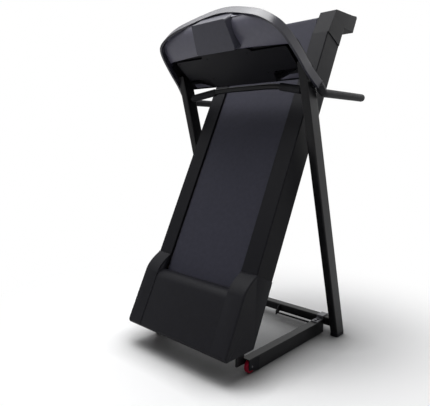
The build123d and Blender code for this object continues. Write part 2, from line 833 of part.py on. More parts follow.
pulley_outer_x = -belt_width / 2 - pulley_gap - pulley_width
with BuildPart() as motor_rotor:
    with BuildSketch(deck_side(pulley_outer_x)) as shaft:
        with Locations((motor_s, motor_n)):
            Circle(motor_shaft / 2)
    extrude(amount=motor_left_x + motor_length - pulley_outer_x)
    with BuildSketch(deck_side(pulley_outer_x)) as pulley:
        with Locations((motor_s, motor_n)):
            Circle(motor_pulley_radius)
    extrude(amount=pulley_width)
    with BuildSketch(deck_side(motor_left_x - flywheel_width - pulley_gap)) as flywheel:
        with Locations((motor_s, motor_n)):
            Circle(flywheel_radius)
    extrude(amount=flywheel_width)
save(motor_rotor, "motor_rotor")

with BuildPart() as roller_pulley:
    with BuildSketch(deck_side(pulley_outer_x)) as disc:
        with Locations((front_roller_s, roller_n)):
            Circle(roller_pulley_radius)
            Circle(shaft_diameter / 2 + running_gap, mode=Mode.SUBTRACT)
            with PolarLocations(roller_pulley_radius * 0.62, 5):
                Circle(roller_pulley_radius * 0.17, mode=Mode.SUBTRACT)
    extrude(amount=pulley_width)
    with BuildSketch(deck_side(-belt_width / 2)) as hub:
        with Locations((front_roller_s, roller_n)):
            Circle(shaft_diameter)
            Circle(shaft_diameter / 2 + running_gap, mode=Mode.SUBTRACT)
    extrude(amount=-pulley_gap)
save(roller_pulley, "roller_pulley")


def pulley_loop(spare):
    """Taut outline round both pulleys, with room to spare."""
    with BuildSketch() as loop:
        with Locations((motor_s, motor_n)):
            Circle(motor_pulley_radius + spare)
        with Locations((front_roller_s, roller_n)):
            Circle(roller_pulley_radius + spare)
        make_hull()
    return loop.sketch


with BuildPart() as drive_belt:
    with BuildSketch(deck_side(pulley_outer_x)) as band:
        add(pulley_loop(free_gap + drive_belt_thickness))
        add(pulley_loop(free_gap), mode=Mode.SUBTRACT)
    extrude(amount=pulley_width)
save(drive_belt, "drive_belt")

# Motor controller with a finned heat sink
with BuildPart() as controller:
    with BuildSketch(deck.offset(motor_bed_n)) as case:
        with Locations((controller_x, motor_s)):
            RectangleRounded(controller_width, controller_length, 2 * hood_wall)
    extrude(amount=controller_height)
    fin_pitch = controller_width / (fin_count + 1)
    for index in range(fin_count):
        x = controller_x - controller_width / 2 + fin_pitch * (index + 0.5)
        with BuildSketch(deck.offset(motor_bed_n + controller_height)) as gap:
            with Locations((x + fin_pitch / 2, motor_s)):
                Rectangle(fin_pitch / 2, controller_length)
        extrude(amount=-controller_height / 3, mode=Mode.SUBTRACT)
save(controller, "controller")

# Belly pan under the motor space, with cooling slots and a turned-up front
with BuildPart() as belly_pan:
    with BuildSketch(deck.offset(tube_bottom_n - hood_wall)) as pan:
        with Locations((0, motor_s)):
            RectangleRounded(2 * tube_inner_x, bed_length, 2 * hood_wall)
        with GridLocations(2 * vent_depth, 0, pan_slots, 1):
            with Locations((0, motor_s)):
                SlotOverall(bed_length / 2, vent_width, rotation=90, mode=Mode.SUBTRACT)
    extrude(amount=hood_wall)
save(belly_pan, "belly_pan")

# Views of the console: its outline from the user's side, and walls seen along it or from above
console_depth = 400.0
above = Plane(origin=console.origin, x_dir=console.x_dir, z_dir=-console.y_dir)


def mirrored(points):
    """The points of one half, then the same points on the other side."""
    return list(points) + [(-u, v) for u, v in reversed(points) if u != 0]


def console_outline(inset, w=0, low_v=None, high_v=None):
    """Outline of the console at w, moved inwards; low_v and high_v cut it off."""
    points = [Vector(u, v) for u, v in mirrored(rim_outline)]
    moved = []
    for index, point in enumerate(points):
        before = points[max(index - 1, 0)]
        after = points[min(index + 1, len(points) - 1)]
        along = (after - before).normalized()
        moved.append(point + inset * Vector(-along.Y, along.X))
    with BuildSketch(console.offset(w)) as face:
        with BuildLine():
            edge = Spline(*moved)
            Line(edge @ 1, edge @ 0)
        make_face()
        if low_v is not None:
            with Locations((0, (low_v + high_v) / 2)):
                Rectangle(4 * rim_outline[0][0], high_v - low_v, mode=Mode.INTERSECT)
    return face.sketch


def front_edge(rise):
    """Region behind the rim's curved front edge, moved towards the user."""
    with BuildSketch(above) as face:
        with BuildLine():
            edge = Spline(*[(u, w + rise) for u, w in mirrored(rim_edge)])
            Polyline(edge @ 1, (-rim_edge[0][0], console_depth), (rim_edge[0][0], console_depth), edge @ 0)
        make_face()
    return face.sketch


def wall_section(points, half_width):
    """Walls seen along the console, from their corners in v and w."""
    plane = Plane(origin=console.from_local_coords((-half_width, 0, 0)), x_dir=console.y_dir, z_dir=console.x_dir)
    with BuildSketch(plane) as face:
        with BuildLine():
            Polyline(*points, close=True)
        make_face()
    return face.sketch


def upright_pocket():
    """Side view of the room an upright takes inside the console."""
    top = upright_top + free_gap
    foot = grip_z - upright_depth
    front = upright_foot_y - free_gap
    rear = upright_foot_y + upright_depth + free_gap
    slant = panel_under * sqrt(2) + console_y + console_z
    slant_z = (slant - rear) / (1 - lean)
    with BuildSketch(side_plane(-upright_outer_x - free_gap)) as face:
        with BuildLine():
            Polyline(
                (front - lean * top, top),
                (slant - top, top),
                (rear - lean * slant_z, slant_z),
                (rear - lean * foot, foot),
                (front - lean * foot, foot),
                close=True,
            )
        make_face()
    return face.sketch


console_reach = 2 * rim_outline[0][0]
pocket = upright_pocket()
pocket_reach = 2 * (upright_outer_x + free_gap)

# Rim: a band that runs from elbow to elbow over the console
rim_face = console_outline(0)
opening_face = console_outline(rim_thickness)
lining_face = console_outline(rim_thickness + pan_wall)
pan_room = console_outline(
    rim_thickness + pan_wall,
    panel_under,
    panel_foot_v + pan_wall,
    panel_bend_v - panel_thickness / 2,
)
behind_front_edge = front_edge(0)
behind_rear_edge = front_edge(rim_band)
with BuildPart() as console_rim:
    extrude(rim_face, amount=console_depth, both=True)
    extrude(behind_front_edge, amount=console_depth, both=True, mode=Mode.INTERSECT)
    extrude(opening_face, amount=console_depth, both=True, mode=Mode.SUBTRACT)
    extrude(behind_rear_edge, amount=console_depth, both=True, mode=Mode.SUBTRACT)
    with BuildSketch(console) as below_foot:
        with Locations((0, rim_foot_v)):
            Rectangle(2 * console_reach, console_depth, align=(Align.CENTER, Align.MAX))
    extrude(amount=console_depth, both=True, mode=Mode.SUBTRACT)
    extrude(pocket, amount=pocket_reach, mode=Mode.SUBTRACT)
save(console_rim, "console_rim")

# Display housing: a pod that bulges out of the console's rear and faces the runner with its window
housing_tilt = Vector(0, housing_high_v - housing_low_v, housing_high_w - housing_low_w)
housing_up = console.from_local_coords(housing_tilt) - console.origin
housing = Plane(
    origin=console.from_local_coords((0, housing_low_v, housing_low_w)),
    x_dir=console.x_dir,
    z_dir=console.x_dir.cross(housing_up),
)


def housing_face(inset, depth):
    """Tapered outline of the pod, moved inwards."""
    with BuildSketch(housing.offset(depth)) as face:
        with BuildLine():
            Polyline(
                (inset - housing_low_half, inset),
                (housing_low_half - inset, inset),
                (housing_high_half - inset, housing_tilt.length - inset),
                (inset - housing_high_half, housing_tilt.length - inset),
                close=True,
            )
        make_face()
        fillet(face.vertices(), housing_corner)
    return face.sketch


housing_rear = housing_face(0, 0)
housing_room = housing_face(housing_wall, housing_wall)
housing_window = housing_face(lens_margin - tan(radians(housing_taper)) * housing_depth, housing_depth)
with BuildPart() as display_housing:
    extrude(housing_rear, amount=housing_depth, taper=-housing_taper)
    extrude(housing_room, amount=housing_depth, taper=-housing_taper, mode=Mode.SUBTRACT)
    add(console_rim.part, mode=Mode.SUBTRACT)
save(display_housing, "display_housing")

with BuildPart() as display_lens:
    extrude(housing_window, amount=lens_thickness)
save(display_lens, "display_lens")

# User panel: a flat keypad below and a dish above, with side walls behind the rim
buttons = {"stop_button": -1, "start_button": 1, "speed_down_button": -2, "speed_up_button": 2}


def button_face(place, spare, w):
    """A round button beside the middle, a long one further out."""
    with BuildSketch(console.offset(w)) as face:
        with Locations((place * button_pitch, button_v)):
            if abs(place) == 1:
                Circle(round_button / 2 + spare)
            else:
                RectangleRounded(long_button_width + 2 * spare, long_button_height + 2 * spare, long_button_height / 4)
    return face.sketch


dish_under = cover_thickness + dish_gap
dish_top = dish_under + panel_thickness
along_console = Plane(
    origin=console.from_local_coords((-console_reach, 0, 0)),
    x_dir=console.y_dir,
    z_dir=console.x_dir,
)
button_holes = [button_face(place, button_gap, panel_w) for place in buttons.values()]
with BuildPart() as user_panel:
    extrude(opening_face, amount=console_depth, both=True)
    with BuildSketch(along_console) as profile:
        with BuildLine():
            top = [(v, w + dish_top) for v, w in [(dish_foot_v, lobe_curve[0][1]), *lobe_curve[1:]]]
            under = [(v, w + dish_under) for v, w in [(dish_foot_v - panel_thickness, lobe_curve[0][1]), *lobe_curve[1:]]]
            Polyline(
                under[0],
                (pan_side_v, under[0][1]),
                (pan_side_v, pan_side_w),
                (pan_step_v + pan_step_w - pan_side_w, pan_side_w),
                (pan_step_v, pan_step_w),
                (panel_foot_v, pan_step_w),
                (panel_foot_v, panel_w),
                (panel_bend_v, panel_w),
                top[0],
            )
            Bezier(*top)
            Line(top[-1], under[-1])
            Bezier(*reversed(under))
        make_face()
    extrude(amount=2 * console_reach, mode=Mode.INTERSECT)
    extrude(pan_room, amount=-console_depth, mode=Mode.SUBTRACT)
    extrude(pocket, amount=pocket_reach, mode=Mode.SUBTRACT)
    extrude(housing_rear, amount=housing_depth, taper=-housing_taper, mode=Mode.SUBTRACT)
    for hole in button_holes:
        extrude(hole, amount=-2 * panel_thickness, mode=Mode.SUBTRACT)
    with BuildSketch(console.offset(panel_w)) as key_hole:
        with Locations((0, key_v)):
            Circle(key_radius + button_gap)
    extrude(amount=-2 * panel_thickness, mode=Mode.SUBTRACT)
save(user_panel, "user_panel")

# Buttons with a hidden flange, and the board under them
for name, place in buttons.items():
    cap_face = button_face(place, 0, panel_w + button_proud)
    flange_face = button_face(place, button_flange, panel_under - free_gap)
    with BuildPart() as button:
        extrude(cap_face, amount=-button_proud - panel_thickness - free_gap)
        extrude(flange_face, amount=-button_flange)
    save(button, name)

board_w = panel_under - board_gap
with BuildPart() as keypad_board:
    with BuildSketch(console.offset(board_w)) as sheet:
        with Locations((0, button_v)):
            Rectangle(board_width, board_height)
    extrude(amount=-board_thin)
    with BuildSketch(console.offset(board_w)) as posts:
        with Locations((0, button_v)):
            with GridLocations(board_width - 2 * board_gap, board_height - 2 * board_gap, 2, 2):
                Circle(board_gap / 2)
    extrude(amount=board_gap)
save(keypad_board, "keypad_board")

# Safety key that pulls straight out of the panel
with BuildPart() as safety_key:
    with BuildSketch(console.offset(panel_w + free_gap)) as head:
        with Locations((0, key_v)):
            Circle(key_head_radius)
    extrude(amount=key_head)
    with BuildSketch(console.offset(panel_w + free_gap)) as stem:
        with Locations((0, key_v)):
            Circle(key_radius)
    extrude(amount=-panel_thickness - free_gap)
    with BuildSketch(console.offset(panel_w + free_gap + key_head)) as tab:
        with Locations((0, key_v)):
            SlotOverall(2 * key_head_radius - key_head / 2, key_head / 2)
    extrude(amount=2 * key_head)
save(safety_key, "safety_key")

# Lower cover on the console's rear, with a raised middle and finger openings above the bar
cover_outline = [
    (cover_step_x, cover_top_v),
    (cover_step_x + cover_step_run, cover_shoulder_v),
    (cover_half_width, cover_shoulder_v),
    (cover_half_width, cover_opening_v),
    (cover_opening_x, cover_opening_v),
    (cover_opening_x - cover_step_run, cover_foot_v),
]
cover_section = wall_section(
    [
        (cover_top_v, cover_top_w),
        (cover_foot_v, cover_foot_w),
        (cover_foot_v, cover_foot_w + cover_thickness),
        (cover_top_v, cover_top_w + cover_thickness),
    ],
    console_reach,
)
with BuildPart() as lower_cover:
    with BuildSketch(console) as outline:
        with BuildLine():
            Polyline(*mirrored(cover_outline), close=True)
        make_face()
        fillet(outline.vertices(), cover_corner)
    extrude(amount=console_depth, both=True)
    extrude(cover_section, amount=2 * console_reach, mode=Mode.INTERSECT)
save(lower_cover, "lower_cover")

# Recessed lobes between rim, housing and cover
with BuildPart() as console_back:
    extrude(lining_face, amount=console_depth, both=True)
    with BuildSketch(along_console) as wall_face:
        with BuildLine():
            low = [(v, w) for v, w in lobe_curve]
            high = [(v, w + cover_thickness) for v, w in lobe_curve]
            Bezier(*low)
            Line(low[-1], high[-1])
            Bezier(*reversed(high))
            Line(high[0], low[0])
        make_face()
    extrude(amount=2 * console_reach, mode=Mode.INTERSECT)
    add(lower_cover.part, mode=Mode.SUBTRACT)
    extrude(housing_rear, amount=housing_depth, taper=-housing_taper, mode=Mode.SUBTRACT)
save(console_back, "console_back")

# Beam that carries the console between the uprights
beam_low_v = beam_v - beam_height / 2
cover_slope = (cover_foot_w - cover_top_w) / (cover_top_v - cover_foot_v)
beam_low_w = cover_top_w + cover_thickness + cover_slope * (cover_top_v - beam_low_v) + free_gap
beam_section = wall_section(
    [
        (beam_low_v, beam_low_w),
        (beam_low_v + beam_height, beam_low_w),
        (beam_low_v + beam_height, panel_under),
        (beam_low_v, panel_under),
    ],
    upright_inner_x,
)
with BuildPart() as console_beam:
    extrude(beam_section, amount=2 * upright_inner_x)
save(console_beam, "console_beam")

# Hand grips, their core tubes and the stays that hold them on the uprights
elbow = from_console(elbow_v, elbow_w)
rise = from_console(rim_foot_v - free_gap, elbow_w)


def grip_path(side):
    """Centre line of a handle from its free end to the foot of the rim."""
    with BuildLine() as path:
        FilletPolyline(
            (side * grip_x, grip_end_y, grip_z),
            (side * grip_x, elbow[0], grip_z),
            (side * grip_x, rise[0], rise[1]),
            radius=elbow_radius,
        )
    return path.line


def grip_section(side, outer, inner):
    with BuildSketch(Plane(origin=(side * grip_x, grip_end_y, grip_z), z_dir=(0, -1, 0))) as section:
        Circle(outer)
        if inner > 0:
            Circle(inner, mode=Mode.SUBTRACT)
    return section.sketch


grips = {}
for name, side in sides.items():
    centre_line = grip_path(side)
    sleeve = grip_section(side, grip_radius, handle_radius)
    with BuildPart() as grip:
        sweep(sections=sleeve, path=centre_line)
        with BuildSketch(Plane.XZ.offset(-grip_end_y)) as end:
            with Locations((side * grip_x, grip_z)):
                Circle(grip_radius)
        extrude(amount=-grip_end_wall)
        fillet(grip.faces().sort_by(Axis.Y)[-1].edges(), grip_end_wall * 0.8)
    save(grip, f"grip_{name}")
    grips[name] = grip.part

centre_lines = {name: grip_path(side) for name, side in sides.items()}
tubes = {name: grip_section(side, handle_radius, handle_radius - upright_wall) for name, side in sides.items()}
with BuildPart() as handlebars:
    for name, side in sides.items():
        sweep(sections=tubes[name], path=centre_lines[name])
        with BuildSketch(side_plane(side * upright_outer_x)) as stay:
            with Locations((rise[0] - stay_length / 4, rise[1])):
                RectangleRounded(stay_length, stay_height, stay_height / 4)
        extrude(amount=side * (grip_x - grip_radius - upright_outer_x + stay_bite))
        add(grips[name], mode=Mode.SUBTRACT)
        add(console_rim.part, mode=Mode.SUBTRACT)
save(handlebars, "handlebars")

# Cross bar with a soft sleeve at each end
with BuildPart() as cross_bar:
    with BuildLine() as path:
        FilletPolyline(
            (-upright_inner_x, *bar_end),
            (-bar_bend_x, *bar_end),
            (-bar_middle_x, *bar_middle),
            (bar_middle_x, *bar_middle),
            (bar_bend_x, *bar_end),
            (upright_inner_x, *bar_end),
            radius=bar_fillet,
        )
    with BuildSketch(Plane(origin=(-upright_inner_x, *bar_end), z_dir=(1, 0, 0))) as section:
        Circle(bar_radius)
        Circle(bar_radius - upright_wall, mode=Mode.SUBTRACT)
    sweep()
save(cross_bar, "cross_bar")

with BuildPart() as bar_sleeves:
    for side in sides.values():
        with BuildSketch(side_plane(side * sleeve_inner_x)) as section:
            with Locations(bar_end):
                Circle(sleeve_radius)
                Circle(bar_radius, mode=Mode.SUBTRACT)
        extrude(amount=side * (upright_inner_x - sleeve_gap - sleeve_inner_x))
    fillet(bar_sleeves.edges().filter_by(GeomType.CIRCLE).group_by(SortBy.RADIUS)[-1], sleeve_gap)
save(bar_sleeves, "bar_sleeves")
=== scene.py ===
"""Looks of the folding treadmill: finishes, moulded covers, cross bar, screws, floor, lights and camera."""
import json
import math

import bmesh
import bpy
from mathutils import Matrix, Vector


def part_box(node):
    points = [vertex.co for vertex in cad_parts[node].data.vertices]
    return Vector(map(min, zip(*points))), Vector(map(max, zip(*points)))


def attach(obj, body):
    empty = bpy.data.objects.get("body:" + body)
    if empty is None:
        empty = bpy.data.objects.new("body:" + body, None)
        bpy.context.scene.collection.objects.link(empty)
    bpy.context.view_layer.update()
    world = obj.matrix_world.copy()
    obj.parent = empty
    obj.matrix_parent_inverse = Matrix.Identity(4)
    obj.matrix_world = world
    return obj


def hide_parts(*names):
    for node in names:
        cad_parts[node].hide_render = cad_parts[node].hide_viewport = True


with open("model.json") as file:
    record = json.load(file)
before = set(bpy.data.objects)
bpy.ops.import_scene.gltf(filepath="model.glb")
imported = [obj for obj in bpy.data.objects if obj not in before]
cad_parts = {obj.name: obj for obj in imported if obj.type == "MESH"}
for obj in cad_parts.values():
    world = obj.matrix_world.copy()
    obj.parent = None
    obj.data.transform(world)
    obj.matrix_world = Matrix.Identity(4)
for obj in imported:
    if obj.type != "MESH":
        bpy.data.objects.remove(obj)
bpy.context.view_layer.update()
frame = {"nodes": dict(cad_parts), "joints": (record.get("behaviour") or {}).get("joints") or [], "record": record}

# Sizes and places are in millimetres until a mesh is made
metre = 1000.0
both_sides = (("right", 1), ("left", -1))
sharp_angle = math.radians(32)


def box_of(node):
    """Low and high corner of a node's box at rest, in millimetres."""
    return [metre * Vector(corner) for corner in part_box(node)]


# Deck: s runs along it from its hinge, and n stands out of its face
hinge = next(joint for joint in frame["joints"] if joint["name"] == "deck_fold")
fold = math.radians(hinge["range_deg"][1])
hinge_y, hinge_z = [metre * place for place in hinge["pos_m"][1:]]
belt_top = 54.0
belt_start = 179.0
rail_top = 62.4
skirt = -48.0

# Motor hood
hood_wall = 2.4
hood_half = box_of("hood_centre")[1].x
hood_crest = 104.0
roll_radius = 50.0
roll_steps = 16
nose_s = -85.0
nose_radius = 16.0
inlet_gap = 0.8

# Cheeks of the hood, with a slot for the hinge bracket
cheek_inner, cheek_outer = [corner.x for corner in box_of("hood_cheek_right")]
cheek_crest = 106.0
cheek_start = 250.0
cheek_end = 150.0
cheek_round = 7.0
round_steps = 6
ramp_reach = 35.0
ramp_lift = 26.0
rail_sink = 0.3
bracket_x = (235.5, 249.5)
bracket_s = (-95.0, 0.0)
bracket_n = (-60.0, 16.0)

# Cross bar and its sleeves: a level middle, a bend and a sloping end at each side
across = Vector((1.0, 0.0, 0.0))
bar_radius = 12.5
bar_bend = Vector((150.0, 2.0, 1118.0))
bar_end = Vector((309.0, -38.0, 1086.0))
bar_slope = (bar_end - bar_bend).normalized()
bend_length = 60.0
bend_pull = 20.0
bend_steps = 12
sleeve_radius = 17.0
sleeve_x = (183.0, 300.0)

# Console: u runs across it, v up its face and w through it
console_y = -134.5
console_z = 1189.0
panel_under = 53.8

# Recessed lobes: (u, v) of the rim round them from its foot to past the middle, and (v, w) of their curve
rim_half = [
    (354, -61), (349, 0), (342, 57), (332, 111), (308, 160), (256, 190), (150, 203), (0, 203), (-150, 203),
]
rim_wall = 9.0
rim_back = 88.0
rim_bow = 0.00167
lobe_wall = 2.0
lobe_curve = ((52, 25.5), (175, 13.5), (190, 49.5), (206, 87.5))
lobe_curve_steps = 40
lobe_top = 194.0
lobe_foot = 55.0
lobe_foot_rise = 24.0
lobe_foot_bend = 0.6
lobe_columns = 24
lobe_steps = 30
flange_rise = 4.0
flange_least = 1.0

# Lower cover: each corner of its half outline is (u, v, radius)
cover_face = 24.0
cover_slant = 0.1134
cover_wall = 4.0
cover_top = 72.0
cover_shoulder = 52.0
cover_side = 298.0
cover_foot = -122.0
cover_foot_half = 162.0
opening_top = -62.0
opening_side = 176.0
opening_round = 18.0
cover_half = [
    (122, cover_top, 4),
    (136, cover_shoulder, 4),
    (cover_side, cover_shoulder, 10),
    (cover_side, opening_top, 6),
    (opening_side, opening_top, opening_round),
    (cover_foot_half, cover_foot, 6),
]

# Lip along the edge of each finger opening, and the lining that shows inside it
lip_wall = 3.0
lip_sink = 0.2
lip_end = 0.1
lip_corners = [
    (cover_side, opening_top, lip_end),
    (opening_side, opening_top, opening_round),
    (cover_foot_half, cover_foot, lip_end),
]
lining_wall = 2.0
lining_top = -76.0
lining_foot = -120.0
lining_side = 297.0
lining_corners = [
    (186, lining_top, 14),
    (lining_side, lining_top, 2),
    (lining_side, lining_foot, 2),
    (180, lining_foot, 8),
]

# Screws of the lower cover: places are (u, v), and each ring of the head is (radius, rise)
screw_places = ((108, 46), (-108, 46), (285, 40), (-285, 40), (150, -70), (-150, -70), (0, -108))
screw_rings = ((4.4, 0.2), (4.4, -1.0), (3.6, -1.6), (2.0, -1.6), (2.0, -0.6))
screw_sides = 12

# Guards over the transport wheels
guard_length = 66.0
guard_foot = 14.0
guard_drop = 3.0
guard_wall = 1.2

# Floor: its reach, that of the painted contact shadow and that of the fade are in metres
floor_reach = 30.0
painted_shadow_reach = 0.17
painted_shadow_power = 2.2
fade_start = 0.5
fade_end = 1.4

# Finishes: depth of the grain and width of a soft edge in metres, and the change of roughness
grain_depth = 0.0006
wide_edge = 0.003
roughness_swing = 0.06


def link(tree, source, target):
    tree.links.new(source, target)


def new_node(tree, kind, values=None, **settings):
    """Shader node with its settings and the values of its inputs."""
    node = tree.nodes.new("ShaderNode" + kind)
    for setting, value in settings.items():
        setattr(node, setting, value)
    for socket, value in (values or {}).items():
        node.inputs[socket].default_value = value
    return node


def either_ray(tree):
    """True for rays that show the background: from the camera, off gloss or through glass."""
    rays = new_node(tree, "LightPath")
    total = rays.outputs["Is Camera Ray"]
    for kind in ("Is Glossy Ray", "Is Transmission Ray"):
        larger = new_node(tree, "Math", operation="MAXIMUM")
        link(tree, total, larger.inputs[0])
        link(tree, rays.outputs[kind], larger.inputs[1])
        total = larger.outputs["Value"]
    return total


def grained(name, colour, roughness, metallic=0.0, shine=0.1, tone=0.1, scale=60.0, grain=900.0, bump=0.08,
            edge=0.0015):
    """Material with a soft change of tone, a fine grain and softened edges."""
    material = bpy.data.materials.new(name)
    material.use_nodes = True
    tree = material.node_tree
    shader = tree.nodes["Principled BSDF"]
    shader.inputs["Metallic"].default_value = metallic
    shader.inputs["Specular IOR Level"].default_value = shine
    place = new_node(tree, "TexCoord")
    cloud = new_node(tree, "TexNoise", {"Scale": scale, "Detail": 3.0})
    link(tree, place.outputs["Object"], cloud.inputs["Vector"])
    tones = new_node(tree, "ValToRGB")
    for stop, position, way in zip(tones.color_ramp.elements, (0.3, 0.7), (-1, 1)):
        stop.position = position
        stop.color = (*[part * (1 + way * tone) for part in colour], 1)
    link(tree, cloud.outputs["Fac"], tones.inputs["Fac"])
    link(tree, tones.outputs["Color"], shader.inputs["Base Color"])
    smoothest = max(roughness - roughness_swing, 0.02)
    roughest = min(roughness + roughness_swing, 1.0)
    gloss = new_node(tree, "MapRange", {"To Min": smoothest, "To Max": roughest})
    link(tree, cloud.outputs["Fac"], gloss.inputs["Value"])
    link(tree, gloss.outputs["Result"], shader.inputs["Roughness"])
    speck = new_node(tree, "TexNoise", {"Scale": grain, "Detail": 2.0})
    link(tree, place.outputs["Object"], speck.inputs["Vector"])
    relief = new_node(tree, "Bump", {"Strength": bump, "Distance": grain_depth})
    link(tree, speck.outputs["Fac"], relief.inputs["Height"])
    soft_edge = new_node(tree, "Bevel", {"Radius": edge}, samples=4)
    link(tree, soft_edge.outputs["Normal"], relief.inputs["Normal"])
    link(tree, relief.outputs["Normal"], shader.inputs["Normal"])
    return material


finishes = {}


def add_finish(name, colour, roughness, **details):
    finishes[name] = grained(name, colour, roughness, **details)


# Metal of the frame, the rollers and the drive
add_finish("frame_steel", (0.0055, 0.0055, 0.0065), 0.36, shine=0.16, edge=wide_edge)
add_finish("plain_steel", (0.12, 0.12, 0.13), 0.42, metallic=1.0, bump=0.05)
add_finish("roller_steel", (0.33, 0.33, 0.35), 0.32, metallic=1.0)
add_finish("motor_metal", (0.02, 0.02, 0.022), 0.4, shine=0.4)
add_finish("heat_sink", (0.45, 0.45, 0.47), 0.42, metallic=1.0, tone=0.08)

# Moulded plastic
add_finish("black_plastic", (0.007, 0.007, 0.009), 0.46, shine=0.085, bump=0.12, edge=wide_edge)
# Darker copy of the black plastic: painted shade on the end caps, whose tops face the key lamp; the foot rails
# take it too
add_finish("dark_plastic", (0.0045, 0.0045, 0.006), 0.5, shine=0.06, bump=0.12, edge=wide_edge)
add_finish("rim_plastic", (0.019, 0.0185, 0.028), 0.36, shine=0.44, tone=0.06, bump=0.05, edge=wide_edge)
add_finish("pod_plastic", (0.042, 0.042, 0.056), 0.4, shine=0.3, tone=0.06, bump=0.05, edge=wide_edge)
add_finish("lobe_plastic", (0.082, 0.080, 0.108), 0.35, shine=0.4, tone=0.06, bump=0.05)
add_finish("wheel_red", (0.33, 0.008, 0.03), 0.4)
add_finish("lens", (0.004, 0.0045, 0.006), 0.12, shine=0.5, tone=0.2, bump=0.0)
add_finish("key_red", (0.42, 0.015, 0.015), 0.3, shine=0.4, bump=0.03)
add_finish("button_grey", (0.10, 0.10, 0.11), 0.45, tone=0.08)

# Rubber, foam, wood and the circuit board
add_finish("belt_rubber", (0.024, 0.024, 0.034), 0.7, grain=2200.0, bump=0.2)
add_finish("soft_rubber", (0.009, 0.009, 0.010), 0.75, shine=0.15, tone=0.15)
add_finish("grip_foam", (0.014, 0.014, 0.016), 0.6, tone=0.12, grain=1400.0, bump=0.2)
add_finish("board_wood", (0.05, 0.042, 0.035), 0.55, tone=0.25, scale=25.0)
add_finish("circuit_board", (0.015, 0.07, 0.03), 0.45, tone=0.3, scale=200.0)

# The record's nodes take the finish of their slot, apart from these
own_finish = {
    "display_housing": "pod_plastic",
    "console_back": "lobe_plastic",
    # Painted shade on the end caps: they take the darker copy of the black plastic, as the foot rails do
    "end_cap_left": "dark_plastic",
    "end_cap_right": "dark_plastic",
    "foot_rail_left": "dark_plastic",
    "foot_rail_right": "dark_plastic",
}
for entry in frame["record"]["subparts"]:
    mesh = frame["nodes"][entry["node"]].data
    mesh.materials.clear()
    mesh.materials.append(finishes[own_finish.get(entry["node"], entry["material_slot"])])


def world_point(x, y, z):
    """Place in metres of a point in millimetres."""
    return Vector((x, y, z)) / metre


def on_deck(x, s, n):
    """World place of a point s along the folded deck and n out of it."""
    y = hinge_y + s * math.cos(fold) - n * math.sin(fold)
    z = hinge_z + s * math.sin(fold) + n * math.cos(fold)
    return world_point(x, y, z)


def on_console(u, v, w):
    """World place of a point u across, v up and w through the console."""
    y = console_y + (w - v) / math.sqrt(2)
    z = console_z + (w + v) / math.sqrt(2)
    return world_point(-u, y, z)


def cover_w(v):
    """How deep the outer face of the lower cover lies at a height of the console."""
    return cover_face + cover_slant * (cover_top - v)


def on_cover(u, v, depth):
    """World place of a point of the lower cover, with the depth behind its outer face."""
    return on_console(u, v, cover_w(v) + depth)


def mirrored(point):
    return Vector((-point.x, point.y, point.z))


def circle(sides):
    """Cosine and sine of evenly spaced turns."""
    turns = [2 * math.pi * k / sides for k in range(sides)]
    return [(math.cos(turn), math.sin(turn)) for turn in turns]


def arc(centre, radius, start, stop, steps=10):
    """Points of a round corner, with its angles in degrees."""
    angles = [math.radians(start + (stop - start) * step / steps) for step in range(steps + 1)]
    return [(centre[0] + radius * math.cos(a), centre[1] + radius * math.sin(a)) for a in angles]


def bezier(a, b, c, d, steps=16):
    """Points of a curve that leaves a towards b and comes to d from c."""
    points = []
    for step in range(steps + 1):
        t = step / steps
        shares = ((1 - t) ** 3, 3 * t * (1 - t) ** 2, 3 * t * t * (1 - t), t ** 3)
        points.append([sum(k * p[i] for k, p in zip(shares, (a, b, c, d))) for i in range(len(a))])
    return points


def smooth(points, steps=8):
    """Points of a soft curve through all but the first and last of the given points."""
    curve = []
    for a, b, c, d in zip(points, points[1:], points[2:], points[3:]):
        lead = (b[0] + (c[0] - a[0]) / 6, b[1] + (c[1] - a[1]) / 6)
        tail = (c[0] - (d[0] - b[0]) / 6, c[1] - (d[1] - b[1]) / 6)
        curve.extend(bezier(b, lead, tail, c, steps)[:-1])
    return curve


def inset(path, amount):
    """The path moved to its left."""
    moved = []
    for index, point in enumerate(path):
        before = path[max(index - 1, 0)]
        after = path[min(index + 1, len(path) - 1)]
        along = Vector((after[0] - before[0], after[1] - before[1])).normalized()
        moved.append((point[0] - amount * along.y, point[1] + amount * along.x))
    return moved


def rounded(corners, steps=5):
    """Outline with its corners rounded; each corner is (u, v, radius)."""
    outline = []
    for index, (u, v, radius) in enumerate(corners):
        here = Vector((u, v))
        ends = []
        for other in (corners[index - 1], corners[(index + 1) % len(corners)]):
            ends.append(here + radius * (Vector(other[:2]) - here).normalized())
        for step in range(steps + 1):
            t = step / steps
            outline.append(tuple((1 - t) ** 2 * ends[0] + 2 * t * (1 - t) * here + t * t * ends[1]))
    return outline


def read_off(curve, at):
    """Value at a place on a rising curve of (place, value) points."""
    for (low, low_value), (high, high_value) in zip(curve, curve[1:]):
        if at <= high:
            return low_value + (high_value - low_value) * (at - low) / (high - low)
    return curve[-1][1]


def add_rows(shape, rows, closed=False):
    """Faces between rows of points; closed joins the ends of each row."""
    made = [[shape.verts.new(point) for point in row] for row in rows]
    count = len(rows[0])
    for one, two in zip(made, made[1:]):
        for i in range(count if closed else count - 1):
            j = (i + 1) % count
            shape.faces.new((one[i], one[j], two[j], two[i]))
    return made


def add_solid(shape, rings):
    """Closed form through rings of points, with a face over its first and its last ring."""
    made = add_rows(shape, rings, closed=True)
    for ring in (made[0], made[-1]):
        shape.faces.new(ring)


def add_tube(shape, path, radius, sides=20):
    """Closed round tube along a path."""
    rings = []
    for index, point in enumerate(path):
        along = (path[min(index + 1, len(path) - 1)] - path[max(index - 1, 0)]).normalized()
        if rings:
            one = (one - along * one.dot(along)).normalized()
        else:
            one = along.orthogonal().normalized()
        two = along.cross(one)
        rings.append([(point + radius * (one * c + two * s)) / metre for c, s in circle(sides)])
    add_solid(shape, rings)


def add_object(name, data):
    """New object of the scene."""
    made = bpy.data.objects.new(name, data)
    bpy.context.collection.objects.link(made)
    return made


